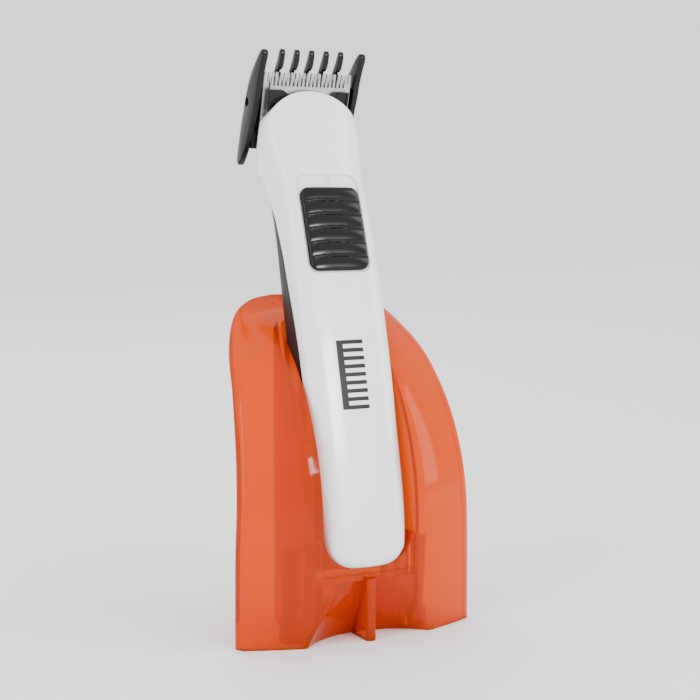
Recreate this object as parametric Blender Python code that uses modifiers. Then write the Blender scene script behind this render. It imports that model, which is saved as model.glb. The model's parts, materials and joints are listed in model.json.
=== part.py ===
"""Rechargeable hair clipper with a guide comb, leaning in a one-piece translucent stand.

Lengths in the calls below are millimetres; mesh_object() and empty() scale them to metres.
The clipper is modelled in its own frame: x across, y from front to back, z from its bottom
end to its blade. The blade frame has z along the fixed blade towards its tips and y out of
the blade's back. Empties hold both frames, so the lean is set in one place.
"""

import math

import bmesh
import bpy
from mathutils import Matrix

MM = 0.001
GAP = 0.3  # clearance between neighbouring pieces

# Placing
LEAN = math.radians(13.47)  # how far the clipper leans back in its stand
CLIPPER_SEAT = (0.0, 4.45, 25.25)
STAND_SHIFT = -30.640  # puts the middle of the whole product over the origin
BLADE_TILT = math.radians(28.8)
BLADE_TIPS = (0.0, 2.0, 166.0)

# Stand
STAND_WALL = 2.2
FACE_RADIUS = 75.0  # the stand's face bends back above FACE_BEND on this radius
FACE_BEND = 38.0
WING_START, WING_EDGE, WING_SWEEP = 20.0, 41.8, 7.5
OUTLINE = ((41.8, -1), (41.7, 18), (41.5, 33), (40.8, 49), (39.9, 61), (38.6, 73), (37.1, 82),
           (35.5, 90), (33.3, 95.6), (30.2, 100.2), (26.0, 103.4), (20.0, 105.4), (12.0, 106.2))
RIM_BACK, RIM_OUT, RIM_UP = 3.3, 1.4, 4.6
SLOT_HALF, TROUGH_STRAIGHT, TROUGH_REAR, TROUGH_POWER = 16.9, 20.0, 38.6, 5.0
SHELF_LOW, SHELF_TOP = 19.8, 22.2
NICHE_CENTRE, NICHE_RADIUS, NICHE_TAPER = -20.0, 30.4, 0.45
CUP_FLOOR, CUP_RADIUS = 24.4, 12.0
POST_X, POST_Y = 22.6, 11.5

# Clipper body: height, half width, front, widest line, back, squareness in front and behind
BODY = ((-1.9, 5.0, -4.2, -1.0, 1.2, 2.2, 2.2), (-1.5, 8.4, -5.4, -0.5, 2.6, 2.4, 2.2),
        (-0.3, 11.2, -6.3, 0.0, 3.9, 2.6, 2.4), (1.9, 13.2, -6.9, 0.5, 5.2, 3.0, 2.6),
        (5.5, 14.5, -7.2, 1.0, 7.0, 3.6, 2.8), (20, 15.6, -7.2, 1.0, 9.4, 4.2, 3.4),
        (40, 15.95, -7.2, 1.0, 11.5, 4.2, 4.0), (64, 16.3, -7.1, 1.0, 12.2, 4.2, 4.4),
        (91, 16.1, -6.5, 1.2, 12.8, 4.2, 4.4), (110, 15.7, -5.2, 1.6, 13.6, 3.8, 4.6),
        (123, 15.5, -4.0, 2.5, 15.4, 3.2, 5.0), (129, 15.6, -3.1, 3.4, 16.6, 2.9, 7.0),
        (133, 16.1, -2.4, 4.2, 17.9, 2.7, 9.0), (137, 16.7, -1.9, 4.7, 19.6, 2.6, 9.0),
        (140.5, 16.9, -1.3, 4.9, 18.3, 2.6, 9.0), (147, 16.9, -0.1, 5.0, 14.5, 2.6, 8.0),
        (153, 16.5, 1.0, 5.0, 11.0, 2.6, 7.0), (160.2, 15.9, 2.7, 5.2, 7.0, 2.6, 5.0))
SIDES = 40  # points round a section
WALL, SIDE_WALL = 1.5, 3.0
PARTING = ((-1.5, -8), (-1.5, 64), (-0.4, 77), (1.0, 86), (2.3, 93), (4.0, 102), (6.2, 110),
           (8.6, 117), (12.4, 122.5), (17.0, 126), (24, 128), (24, -8))
DOME_RADIUS, DOME_CENTRE = 19.4, 140.6
SWITCH_LOW, SWITCH_HIGH, SWITCH_HALF = 95.9, 124.9, 10.8
SWITCH_TRAVEL = 4.0

# Works
MOTOR_Y, MOTOR_LOW, MOTOR_HIGH, MOTOR_RADIUS = 6.2, 119.0, 138.0, 6.0
CRANK = 0.9  # offset of the cam's pin, so half of the cutter's stroke
PIN_RADIUS = 0.9
CELL_RADIUS, CELL_LOW, CELL_HIGH, CELL_Y = 7.0, 38.0, 88.0, 2.3
SCREWS = ((-8.6, 101.0, 8.0), (8.6, 101.0, 8.0), (-8.5, 11.6, 4.7), (8.5, 11.6, 4.7))

# Blade and comb, in the blade frame
BLADE_HALF, TOOTH_COUNT, TOOTH_LENGTH, BLADE_LENGTH, BLADE_THICK = 16.4, 23, 3.2, 21.0, 1.0
COVER_TOP = -5.6  # the cover plate's top edge, which leaves the teeth in sight
COMB_TEETH, COMB_PITCH, COMB_INNER, COMB_OUTER = 5, 5.5, 17.2, 19.4
COMB_TOOTH = ((2.0, -9), (2.0, -4), (1.4, -0.8), (1.3, 0.3), (0.2, 0.9), (-0.9, 2.2), (-1.4, 4.2),
              (-1.5, 6.2), (-1.1, 7.5), (-0.3, 8.0), (0.4, 7.4), (0.9, 5.6), (1.7, 3.2), (3.0, 0.0),
              (4.2, -4.0), (4.2, -9))
COMB_ARM = ((-1.6, -2.5), (-1.3, -6.6), (-0.6, -11), (0.2, -15.5), (1.6, -20.5), (3.2, -25.5),
            (5.0, -29.5), (6.8, -32.8), (8.2, -34.2), (9.6, -33.2), (10.0, -31), (9.6, -25), (9.0, -19),
            (8.2, -14), (7.4, -9), (6.4, -5), (4.8, -1), (3.0, 2), (1.0, 5), (-0.6, 7), (-2.0, 7.9),
            (-3.2, 7.3), (-3.4, 5.5), (-2.6, 2.5))


def clear_scene():
    for obj in list(bpy.data.objects):
        bpy.data.objects.remove(obj, do_unlink=True)


def new_collection(name):
    made = bpy.data.collections.new(name)
    bpy.context.scene.collection.children.link(made)
    return made


def material(name, color, roughness, metallic=0.0, alpha=1.0):
    made = bpy.data.materials.new(name)
    made.use_nodes = True
    shader = made.node_tree.nodes["Principled BSDF"]
    shader.inputs["Base Color"].default_value = (*color, 1.0)
    shader.inputs["Roughness"].default_value = roughness
    shader.inputs["Metallic"].default_value = metallic
    shader.inputs["Alpha"].default_value = alpha
    made.diffuse_color = (*color, alpha)
    return made


def empty(name, place, parent=None, tilt=0.0):
    made = bpy.data.objects.new(name, None)
    PARTS.objects.link(made)
    made.location = [MM * value for value in place]
    made.rotation_euler.x = tilt
    made.parent = parent
    return made


def mesh_object(name, bm, parent, finish=None):
    """A part when it has a finish, otherwise a cutter, from a bmesh in millimetres."""
    bmesh.ops.recalc_face_normals(bm, faces=bm.faces)
    if bm.calc_volume(signed=True) < 0:
        bmesh.ops.reverse_faces(bm, faces=bm.faces)
    bmesh.ops.scale(bm, vec=(MM, MM, MM), verts=bm.verts)
    mesh = bpy.data.meshes.new(name)
    bm.to_mesh(mesh)
    bm.free()
    obj = bpy.data.objects.new(name, mesh)
    obj.parent = parent
    if finish is None:
        CUTTERS.objects.link(obj)
        obj.hide_render = True
        obj.display_type = "WIRE"
        return obj
    PARTS.objects.link(obj)
    mesh.materials.append(finish)
    return obj


def boolean(obj, other, operation):
    step = obj.modifiers.new(operation.lower() + "_" + other.name, "BOOLEAN")
    step.operation = operation
    step.object = other
    step.solver = "EXACT"
    return obj


def cut(obj, *cutters):
    for cutter in cutters:
        boolean(obj, cutter, "DIFFERENCE")
    return obj


def join(obj, *others):
    for other in others:
        boolean(obj, other, "UNION")
    return obj


def keep_inside(obj, *limits):
    for limit in limits:
        boolean(obj, limit, "INTERSECT")
    return obj


def block(name, low, high, parent, finish=None):
    """A box between two corners."""
    bm = bmesh.new()
    size = [top - bottom for bottom, top in zip(low, high)]
    middle = [(top + bottom) / 2 for bottom, top in zip(low, high)]
    bmesh.ops.create_cube(bm, size=1, matrix=Matrix.Translation(middle) @ Matrix.Diagonal((*size, 1)))
    return mesh_object(name, bm, parent, finish)


def rod(name, radius, start, length, parent, finish=None, axis="Z", top_radius=None, sides=24):
    """A cylinder or cone of the given length along +axis from start."""
    bm = bmesh.new()
    turn = {"Z": Matrix(), "Y": Matrix.Rotation(-math.pi / 2, 4, "X"),
            "X": Matrix.Rotation(math.pi / 2, 4, "Y")}[axis]
    raised = Matrix.Translation((0, 0, length / 2))
    bmesh.ops.create_cone(bm, cap_ends=True, segments=sides, radius1=radius,
                          radius2=radius if top_radius is None else top_radius,
                          depth=length, matrix=Matrix.Translation(start) @ turn @ raised)
    return mesh_object(name, bm, parent, finish)


def prism(name, outline, low, high, plane, parent, finish=None, rounding=0.0):
    """A flat outline pulled from low to high: plane XY pulls along z, YZ along x, XZ along y."""
    bm = bmesh.new()
    place = {"XY": lambda a, b, c: (a, b, c), "YZ": lambda a, b, c: (c, a, b),
             "XZ": lambda a, b, c: (a, c, b)}[plane]
    face = bm.faces.new([bm.verts.new(place(a, b, low)) for a, b in outline])
    pulled = bmesh.ops.extrude_face_region(bm, geom=[face])
    moved = [item for item in pulled["geom"] if isinstance(item, bmesh.types.BMVert)]
    bmesh.ops.translate(bm, verts=moved, vec=place(0, 0, high - low))
    if rounding:
        flat = [edge for edge in bm.edges if edge.calc_face_angle(0) > math.radians(50)]
        bmesh.ops.bevel(bm, geom=flat, offset=rounding, segments=1, profile=0.5,
                        affect="EDGES", material=-1)
    return mesh_object(name, bm, parent, finish)


def loft(name, rings, parent, finish=None):
    """A closed skin through rings that have the same number of points."""
    bm = bmesh.new()
    rows = [[bm.verts.new(point) for point in ring] for ring in rings]
    for lower, upper in zip(rows, rows[1:]):
        for i in range(len(lower)):
            j = (i + 1) % len(lower)
            bm.faces.new((lower[i], lower[j], upper[j], upper[i]))
    bm.faces.new(rows[0])
    bm.faces.new(rows[-1])
    return mesh_object(name, bm, parent, finish)


def arc(radius, centre, start, stop, steps):
    """Points on a circle, the angles in degrees."""
    angles = [math.radians(start + (stop - start) * i / steps) for i in range(steps + 1)]
    return [(centre[0] + radius * math.cos(a), centre[1] + radius * math.sin(a)) for a in angles]


def rounded_rectangle(left, right, low, high, radius, steps=4):
    corners = ((right - radius, high - radius, 0), (left + radius, high - radius, 90),
               (left + radius, low + radius, 180), (right - radius, low + radius, 270))
    return [point for x, z, turn in corners for point in arc(radius, (x, z), turn, turn + 90, steps)]


# ---------------------------------------------------------------- stand

def face_depth(x, z):
    """How far back the stand's face lies at this place."""
    bend = 0.0
    if z > FACE_BEND:
        bend = FACE_RADIUS - math.sqrt(FACE_RADIUS ** 2 - (z - FACE_BEND) ** 2)
    wing = max(0.0, abs(x) - WING_START) / (WING_EDGE - WING_START)
    return bend + WING_SWEEP * wing ** 1.3


def rim_point(x, z, side):
    """The back edge of the rim that runs round the face's outline."""
    rise = max(0.0, (z - 85) / (OUTLINE[-1][1] - 85)) ** 3
    out = RIM_OUT * (1 - 0.5 * rise)
    return (x + side * out, face_depth(x, z) + RIM_BACK + 2.6 * rise, z + RIM_UP * rise)


def face_skin(columns=22):
    """The stand's face and its rim as one open surface, made solid with Solidify."""
    bm = bmesh.new()
    rows = []
    for half, z in OUTLINE:
        across = [half * (2 * i / columns - 1) for i in range(columns + 1)]
        points = [(x, face_depth(x, z), z) for x in across]
        rows.append([rim_point(-half, z, -1)] + points + [rim_point(half, z, 1)])
    top_half, top = OUTLINE[-1]
    crest = [rim_point(x, top, 0) for x, _, _ in rows[-1][1:-1]]
    rows.append([rows[-1][0]] + crest + [rows[-1][-1]])
    grid = [[bm.verts.new(point) for point in row] for row in rows]
    for lower, upper in zip(grid, grid[1:]):
        for i in range(len(lower) - 1):
            bm.faces.new((lower[i], lower[i + 1], upper[i + 1], upper[i]))
    bmesh.ops.remove_doubles(bm, verts=bm.verts, dist=0.01)
    skin = mesh_object("stand_shell", bm, PRODUCT, ORANGE)
    solid = skin.modifiers.new("wall", "SOLIDIFY")
    solid.thickness = STAND_WALL * MM
    solid.offset = -1.0
    return skin


def trough_outline(grow, front):
    """The U seen from above: straight sides, then a squarish round end at the back."""
    half = SLOT_HALF + grow
    depth = TROUGH_REAR - TROUGH_STRAIGHT + grow
    points = [(half, front)]
    for i in range(25):
        turn = math.pi * i / 24
        x = half * math.copysign(abs(math.cos(turn)) ** (2 / TROUGH_POWER), math.cos(turn))
        points.append((x, TROUGH_STRAIGHT + depth * math.sin(turn) ** (2 / TROUGH_POWER)))
    return points + [(-half, front)]


def space_before_face():
    """Everything in front of the face, pulled 1 mm into the wall."""
    bm = bmesh.new()
    heights = [-6 + 5 * i for i in range(24)]
    across = [-30 + 4 * i for i in range(16)]
    grid = [[bm.verts.new((x, face_depth(x, z) + 1.0, z)) for x in across] for z in heights]
    for lower, upper in zip(grid, grid[1:]):
        for i in range(len(across) - 1):
            bm.faces.new((lower[i], lower[i + 1], upper[i + 1], upper[i]))
    pulled = bmesh.ops.extrude_face_region(bm, geom=bm.faces[:])
    moved = [item for item in pulled["geom"] if isinstance(item, bmesh.types.BMVert)]
    bmesh.ops.scale(bm, vec=(1, 0, 1), verts=moved)
    bmesh.ops.translate(bm, vec=(0, -40, 0), verts=moved)
    return mesh_object("before_face", bm, PRODUCT)


def trough():
    """The upright U behind the face that holds the clipper, with the shelf across it."""
    outer = prism("trough", trough_outline(STAND_WALL, 0.6), -1, 109, "XY", PRODUCT)
    return cut(outer, space_before_face())


def niche_cone(name, grow, low, high):
    """The hollow front under the shelf: a cone about an axis in front of the face."""
    return rod(name, NICHE_RADIUS + grow - NICHE_TAPER * low, (0, NICHE_CENTRE, low), high - low, PRODUCT,
               top_radius=NICHE_RADIUS + grow - NICHE_TAPER * high, sides=96)


def niche_wall():
    """The wall behind the niche, kept to the space behind the face."""
    wall = niche_cone("niche_wall", STAND_WALL * 1.1, -1, 20.9)
    return keep_inside(wall, block("niche_limit", (-24.5, 0.7, -3), (24.5, 20, 25), PRODUCT))


def posts():
    """Two tapered posts beside the trough, each with a ring at its foot."""
    made = []
    for side in (-1, 1):
        label = "left" if side < 0 else "right"
        place = (side * POST_X, POST_Y, -1)
        made.append(rod("post_" + label, 3.0, place, 31, PRODUCT, top_radius=4.3, sides=20))
        made.append(rod("post_ring_" + label, 4.6, place, 6.5, PRODUCT, top_radius=4.2, sides=20))
    return made


def cradle():
    """The cup that the clipper's round end sits in, at the bottom of the slot."""
    cup = block("cradle", (-SLOT_HALF - 0.5, 0.4, SHELF_LOW + 0.3), (SLOT_HALF + 0.5, 13, 34.0), PRODUCT)
    hollow = rounded_rectangle(-SLOT_HALF + 0.2, SLOT_HALF - 0.2, CUP_FLOOR, 70, CUP_RADIUS, 8)
    return cut(cup, prism("cup_hollow", hollow, -5, 30, "XZ", PRODUCT))


def build_stand():
    stand = join(face_skin(), trough())
    cut(stand, prism("slot", trough_outline(0, -30), SHELF_TOP, 130, "XY", PRODUCT))
    cut(stand, prism("under_shelf", trough_outline(-0.1, 0.9), -6, SHELF_LOW, "XY", PRODUCT))
    join(stand, niche_wall())
    cut(stand, niche_cone("niche", 0, -5, 21.3))
    fin = rounded_rectangle(-1.75, 1.75, -1.7, 11.5, 1.4)
    join(stand, prism("fin", fin, -1, SHELF_LOW + 0.9, "XY", PRODUCT), *posts())
    join(stand, cradle())
    cut(stand, body_solid("clipper_space", 0.35))
    return cut(stand, block("below_ground", (-60, -40, -12), (60, 80, 0), PRODUCT))


# ---------------------------------------------------------------- clipper housing

def body_ring(station, out, side, behind=None):
    """One section of the clipper, moved by out at the front, side at the sides and behind at the back."""
    z, half, front, widest, back, front_power, back_power = station
    front, back, half = front - out, back + (out if behind is None else behind), half + side
    ring = []
    for i in range(SIDES):
        turn = 2 * math.pi * i / SIDES
        depth, power = (back - widest, back_power) if i < SIDES / 2 else (widest - front, front_power)
        x = half * math.copysign(abs(math.cos(turn)) ** (2 / power), math.cos(turn))
        y = depth * math.copysign(abs(math.sin(turn)) ** (2 / power), math.sin(turn))
        ring.append((x, widest + y, z))
    return ring


def body_solid(name, out, side=None, first=0):
    side = out if side is None else side
    rings = [body_ring(station, out, side) for station in BODY[first:]]
    if first == 0 and out > 0:
        low = [(x, y, z - out) for x, y, z in rings[0]]
        rings = [low] + rings
    return loft(name, rings, CLIPPER)


def rear_region(name, shift):
    """The space behind the joint line between the two halves."""
    outline = [(y + shift, z - shift) for y, z in PARTING]
    return prism(name, outline, -25, 25, "YZ", CLIPPER)


def window_recess():
    """The sunk field that the switch slides in."""
    outline = rounded_rectangle(-SWITCH_HALF - 0.6, SWITCH_HALF + 0.6, SWITCH_LOW - 0.6,
                                SWITCH_HIGH + SWITCH_TRAVEL + 0.6, 3.4)
    field = prism("window_field", outline, -14, -1, "XZ", CLIPPER)
    return cut(field, body_solid("window_floor", -0.8))


def stem_slot():
    return block("stem_slot", (-3.2, -9, 101), (3.2, 0, 115), CLIPPER)


def boss(name, x, z, radius, low, high):
    return rod(name, radius, (x, low, z), high - low, CLIPPER, axis="Y", sides=16)


def build_front_shell():
    shell = body_shell("front_shell", WHITE)
    cut(shell, rear_region("behind_joint", -GAP))
    top = rod("dome", DOME_RADIUS, (0, -20, DOME_CENTRE), 60, CLIPPER, axis="Y", sides=72)
    join(top, block("below_dome", (-25, -20, -10), (25, 40, DOME_CENTRE), CLIPPER))
    keep_inside(shell, top)
    cut(shell, block("blade_opening", (-13.9, -2.2, -22.3), (13.9, 3, 8), BLADE))
    cut(shell, block("cutter_opening", (-15.4, -1.6, -16.8), (15.4, 4, 9), BLADE))
    cut(shell, block("frame_opening", (-13.5, -4.8, -22.1), (13.5, 5, -12.3), BLADE))
    cut(shell, blade_seat("front_seat"))
    cut(shell, prism("cover_space", cover_outline(GAP), -2.6, 4, "XZ", BLADE))
    for side in (-1, 1):
        low, high = sorted((side * 9.9, side * 15.3))
        cut(shell, block(f"cover_corner_{side + 1}", (low, -3.0, -11.8), (high, 4, 5), BLADE))
    cut(shell, window_recess(), stem_slot())
    for number, (x, z, _) in enumerate(SCREWS, 1):
        join(shell, boss(f"front_boss_{number}", x, z, 2.2, -5.0 if z < 50 else -3.7, 2.7))
        cut(shell, boss(f"pilot_{number}", x, z, 1.2, -3.2, 4))
    return cut(shell, rod("front_socket_hole", 3.3, (0, 1.8, -8), 10, CLIPPER))


def body_shell(name, finish):
    """A copy of the body hollowed to its wall, before it is parted."""
    shell = loft(name, [body_ring(station, 0, 0) for station in BODY], CLIPPER, finish)
    rings = [body_ring(station, -WALL, -SIDE_WALL) for station in BODY[3:]]
    last = [(x, y, z + 6) for x, y, z in rings[-1]]
    return cut(shell, loft(name + "_hollow", rings + [last], CLIPPER))


def build_rear_shell():
    shell = body_shell("rear_shell", BLACK_SOFT)
    keep_inside(shell, rear_region("rear_limit", 0))
    for number, (x, z, seat) in enumerate(SCREWS, 1):
        wall = 12.8 if z > 50 else 6.2
        join(shell, boss(f"rear_boss_{number}", x, z, 2.6, 3.6, wall - 0.8))
        cut(shell, boss(f"screw_hole_{number}", x, z, 1.2, 2, wall + 4))
        cut(shell, boss(f"head_hole_{number}", x, z, 2.2, seat - GAP, wall + 4))
    return cut(shell, rod("rear_socket_hole", 3.3, (0, 1.8, -8), 18, CLIPPER))


def build_housing_screws():
    for number, (x, z, seat) in enumerate(SCREWS, 1):
        screw = rod(f"housing_screw_{number}", 1.9, (x, seat, z), 1.2, CLIPPER, STEEL, "Y", sides=16)
        join(screw, boss(f"screw_shank_{number}", x, z, 0.9, -2.6, seat + 0.4))
        cut(screw, block(f"screw_slot_{number}", (x - 1.2, seat + 0.7, z - 0.25),
                         (x + 1.2, seat + 2, z + 0.25), CLIPPER))


def build_switch():
    """The slider: a curved plate with five ridges, and a stem through the slot."""
    outline = rounded_rectangle(-SWITCH_HALF, SWITCH_HALF, SWITCH_LOW, SWITCH_HIGH, 3.2)
    button = prism("switch_button", outline, -14, -1, "XZ", CLIPPER, BLACK)
    keep_inside(button, body_solid("switch_top", 1.1))
    cut(button, body_solid("switch_under", -0.45))
    pitch = (SWITCH_HIGH - SWITCH_LOW) / 6
    for number in range(1, 6):
        z = SWITCH_LOW + pitch * number
        ridge = block(f"ridge_{number}", (-9.7, -14, z - 0.5), (9.7, -2, z + 0.5), CLIPPER)
        keep_inside(ridge, body_solid(f"ridge_top_{number}", 1.7))
        cut(ridge, body_solid(f"ridge_under_{number}", 0.4))
        join(button, ridge)
    return join(button, block("stem", (-2.5, -6, 101.8), (2.5, -3.4, 110), CLIPPER))


# ---------------------------------------------------------------- works

def build_motor():
    height = MOTOR_HIGH - MOTOR_LOW
    can = rod("motor_can", MOTOR_RADIUS, (0, 0, MOTOR_LOW), height, MOTOR, STEEL, sides=32)
    cut(can, rod("can_hollow", MOTOR_RADIUS - 0.7, (0, 0, MOTOR_LOW - 2), height + 1.2, MOTOR, sides=32))
    cut(can, rod("can_hole", 1.4, (0, 0, MOTOR_HIGH - 3), 8, MOTOR))
    cap = rod("motor_end_cap", MOTOR_RADIUS - 0.6, (0, 0, MOTOR_LOW - 3.2), 2.9, MOTOR, BLACK, sides=32)
    cut(cap, rod("cap_hole", 1.4, (0, 0, MOTOR_LOW - 2), 6, MOTOR))
    magnet = rod("field_magnet", 5.0, (0, 0, 121), 13, MOTOR, DARK_METAL, sides=32)
    cut(magnet, rod("magnet_hole", 4.2, (0, 0, 119), 18, MOTOR, sides=32))
    armature = rod("motor_armature", 3.9, (0, 0, 121), 13, MOTOR, COPPER, sides=24)
    cut(armature, rod("armature_hole", 1.3, (0, 0, 119), 18, MOTOR))
    rod("motor_shaft", 1.0, (0, 0, MOTOR_LOW - 1.5), 27.4, MOTOR, STEEL, sides=16)
    mount = block("motor_mount", (-10.5, 1.6, 138.4), (10.5, 12.6, 139.3), CLIPPER, BLACK)
    cut(mount, rod("mount_hole", 2.2, (0, 0, 137), 6, MOTOR))


def build_cam():
    cam = rod("eccentric_cam", 3.0, (0, 0, 141), 3.0, MOTOR, WHITE, sides=24)
    join(cam, rod("cam_cap", 2.3, (0, 0, 143.6), 2.6, MOTOR, sides=24))
    cut(cam, rod("cam_hole", 1.3, (0, 0, 138), 7.2, MOTOR))
    return join(cam, rod("crank_pin", PIN_RADIUS, (0, CRANK, 145.9), 4.4, MOTOR, sides=16))


def build_power():
    """Cell, its two contacts, the board, the charging socket and the switch's contact strip."""
    cell = rod("battery_cell", CELL_RADIUS, (0, CELL_Y, CELL_LOW), CELL_HIGH - CELL_LOW - 1,
               CLIPPER, CELL_WRAP, sides=32)
    join(cell, rod("cell_nub", 2.6, (0, CELL_Y, CELL_HIGH - 1.2), 1.2, CLIPPER))
    block("battery_contact_upper", (-4.5, -2.0, 88.3), (4.5, 7.0, 88.8), CLIPPER, BRASS)
    block("battery_contact_lower", (-4.5, -2.0, 37.2), (4.5, 7.0, 37.7), CLIPPER, BRASS)
    block("circuit_board", (-9.5, 0.6, 16), (9.5, 2.2, 36.4), CLIPPER, BOARD)
    socket = rod("charge_socket", 3.0, (0, 1.8, 1.3), 8.2, CLIPPER, BLACK)
    cut(socket, rod("socket_bore", 1.7, (0, 1.8, -1), 8, CLIPPER))
    strip = block("switch_contact", (-4, -3.0, 92), (4, -2.5, 113), CLIPPER, BRASS)
    return cut(strip, block("strip_slot", (-0.6, -4, 95), (0.6, 0, 110), CLIPPER))


# ---------------------------------------------------------------- blade and comb

def toothed_outline(half, teeth, root, tip, low):
    """A plate in x and z with tapered teeth along its top edge."""
    pitch = 2 * half / (teeth - 0.45)
    points = [(-half, low), (half, low)]
    for number in range(teeth):
        right = half - pitch * number
        points += [(right, root), (right - 0.1 * pitch, tip), (right - 0.42 * pitch, tip),
                   (right - 0.55 * pitch, root)]
    return points


def blade_seat(name):
    """The space behind the fixed blade's front face."""
    return block(name, (-25, -GAP, -21.3), (25, 14, 30), BLADE)


def cover_outline(grow):
    """The plate over the moving blade's root: full height in the corners, lower behind the dome."""
    top = COVER_TOP + grow
    right = [(15 + grow, -13 - grow), (15 + grow, top), (9.8 - grow, top), (7.4 - grow, -7.2 + grow),
             (4 - grow, -8.6 + grow)]
    return right + [(-x, z) for x, z in reversed(right)]


def cover_plate():
    """A thin plate in front of the moving blade, with a raised line in each corner."""
    plate = prism("cover_plate", cover_outline(0), -2.3, -1.5, "XZ", BLADE)
    cut(plate, block("cover_middle", (-9.2, -9, -16), (9.2, 5, -10.8), BLADE))
    corner = ((10.4, -6.3), (10.4, -5.7), (14.9, -5.7), (14.9, -11.5), (14.2, -11.5), (14.2, -6.3))
    for side, label in ((-1, "left"), (1, "right")):
        line = [(side * x, z) for x, z in corner]
        join(plate, prism("cover_line_" + label, line, -2.7, -2.2, "XZ", BLADE))
    return plate


def build_head_frame():
    """The block in the clipper's mouth that the blades sit on."""
    rings = [body_ring(station, -WALL - GAP, -SIDE_WALL - 2 * GAP, 0) for station in BODY[14:]]
    frame = loft("head_frame", rings, CLIPPER, BLACK)
    keep_inside(frame, block("frame_limit", (-20, -12, 139.7), (20, 32, 166), CLIPPER))
    cut(frame, block("heel_limit", (-20, -4.4, -40), (20, 12, -21.9), BLADE))
    cut(frame, block("cutter_pocket", (-15.4, -1.6, -16.8), (15.4, 6, 10), BLADE))
    cut(frame, block("carrier_pocket", (-8.9, -9, -17.3), (8.9, 5, -9.4), BLADE))
    cut(frame, block("cam_pocket", (-6.4, -3, 134), (6.4, 10.7, 152.3), CLIPPER))
    cut(frame, blade_seat("frame_seat"))
    join(frame, cover_plate())
    for side in (-1, 1):
        cut(frame, rod(f"frame_pilot_{side + 1}", 1.2, (side * 11, -6, -19), 9, BLADE, axis="Y"))
    return frame


def build_blades():
    fixed = prism("fixed_blade", toothed_outline(BLADE_HALF, TOOTH_COUNT, -TOOTH_LENGTH, 0.0, -BLADE_LENGTH),
                  0.0, BLADE_THICK, "XZ", BLADE, STEEL)
    moving = toothed_outline(14.2, 20, -4.2, -1.7, -16.2)
    prism("moving_blade", moving, -1.2, -0.3, "XZ", BLADE, STEEL)
    for side, label in ((-1, "left"), (1, "right")):
        cut(fixed, rod("blade_hole_" + label, 1.3, (side * 11, -2, -19), 5, BLADE, axis="Y", sides=16))
        screw = rod("blade_screw_" + label, 0.9, (side * 11, -4.6, -19), 6.2, BLADE, STEEL, "Y", sides=16)
        join(screw, rod("blade_head_" + label, 1.8, (side * 11, 1.3, -19), 0.6, BLADE, axis="Y", sides=16))
    block("blade_spring", (-8.0, -5.3, -13.8), (8.0, -5.0, -12.2), BLADE, STEEL)


def build_carrier():
    """The plastic fork that the cam's pin drives from side to side."""
    carrier = block("cutter_carrier", (-6, -3.7, -15.6), (6, -1.5, -11.4), BLADE, WHITE)
    reach = PIN_RADIUS + 2 * CRANK + 0.15
    for side, label in ((-1, "left"), (1, "right")):
        low, high = sorted((side * reach, side * (reach + 1.8)))
        join(carrier, block("prong_" + label, (low, 4.4, 147.4), (high, 8.0, 150.4), CLIPPER))
        join(carrier, block("prong_root_" + label, (low, 4.5, 150.2), (high, 6.4, 153.0), CLIPPER))
    return carrier


def build_comb():
    """Five teeth between two side arms, tied together by a plate behind the blade."""
    comb = block("guide_comb", (-COMB_INNER - 0.5, 2.4, -27), (COMB_INNER + 0.5, 4.2, -5), BLADE, BLACK)
    cut(comb, prism("comb_window", rounded_rectangle(-11, 11, -22.5, -10.5, 3), 0, 8, "XZ", BLADE))
    for number in range(COMB_TEETH):
        x = COMB_PITCH * (number - (COMB_TEETH - 1) / 2)
        join(comb, prism(f"tooth_{number + 1}", COMB_TOOTH, x - 0.8, x + 0.8, "YZ", BLADE))
    for side, label in ((-1, "left"), (1, "right")):
        low, high = sorted((side * COMB_INNER, side * COMB_OUTER))
        arm = prism("arm_" + label, COMB_ARM, low, high, "YZ", BLADE, rounding=0.5)
        join(comb, arm)
        start = min(side * (COMB_OUTER - 0.7), side * (COMB_OUTER + 2))
        cut(comb, rod("arm_dent_" + label, 1.5, (start, 5.9, -11.5), 2.7, BLADE, axis="X"))
    return comb


clear_scene()
PARTS = new_collection("hair_clipper")
CUTTERS = new_collection("cutters")

WHITE = material("white_gloss", (0.86, 0.87, 0.88), 0.15)
BLACK = material("black_gloss", (0.012, 0.012, 0.014), 0.25)
BLACK_SOFT = material("black_satin", (0.02, 0.02, 0.022), 0.45)
ORANGE = material("orange_clear", (1.0, 0.10, 0.01), 0.08, alpha=0.75)
STEEL = material("blade_steel", (0.72, 0.72, 0.73), 0.25, 1.0)
DARK_METAL = material("dark_magnet", (0.10, 0.10, 0.11), 0.5, 0.6)
COPPER = material("copper_winding", (0.60, 0.27, 0.14), 0.35, 1.0)
BRASS = material("brass_contact", (0.78, 0.60, 0.28), 0.3, 1.0)
BOARD = material("green_board", (0.03, 0.22, 0.09), 0.5)
CELL_WRAP = material("cell_wrap", (0.04, 0.30, 0.14), 0.35)

PRODUCT = empty("stand_place", (0, STAND_SHIFT, 0))
CLIPPER = empty("clipper_place", CLIPPER_SEAT, PRODUCT, -LEAN)
MOTOR = empty("motor_axis", (0, MOTOR_Y, 0), CLIPPER)
BLADE = empty("blade_plane", BLADE_TIPS, CLIPPER, BLADE_TILT)

build_stand()
build_front_shell()
build_rear_shell()
build_housing_screws()
build_switch()
build_motor()
build_cam()
build_power()
build_head_frame()
build_blades()
build_carrier()
build_comb()

for piece in PARTS.objects:
    if piece.type == "MESH":
        piece.data.shade_smooth()
        piece.data.set_sharp_from_angle(angle=math.radians(30))
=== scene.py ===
# %% [markdown]
# # A hair clipper leaning in its stand
# This notebook dresses a slim rechargeable hair clipper and the clear orange stand it leans in.
# The solids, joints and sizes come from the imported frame. Each cell makes one piece or one
# finish, places it by the frame, and says which body it moves with.

# %% Load the frame
import json
import math

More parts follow.
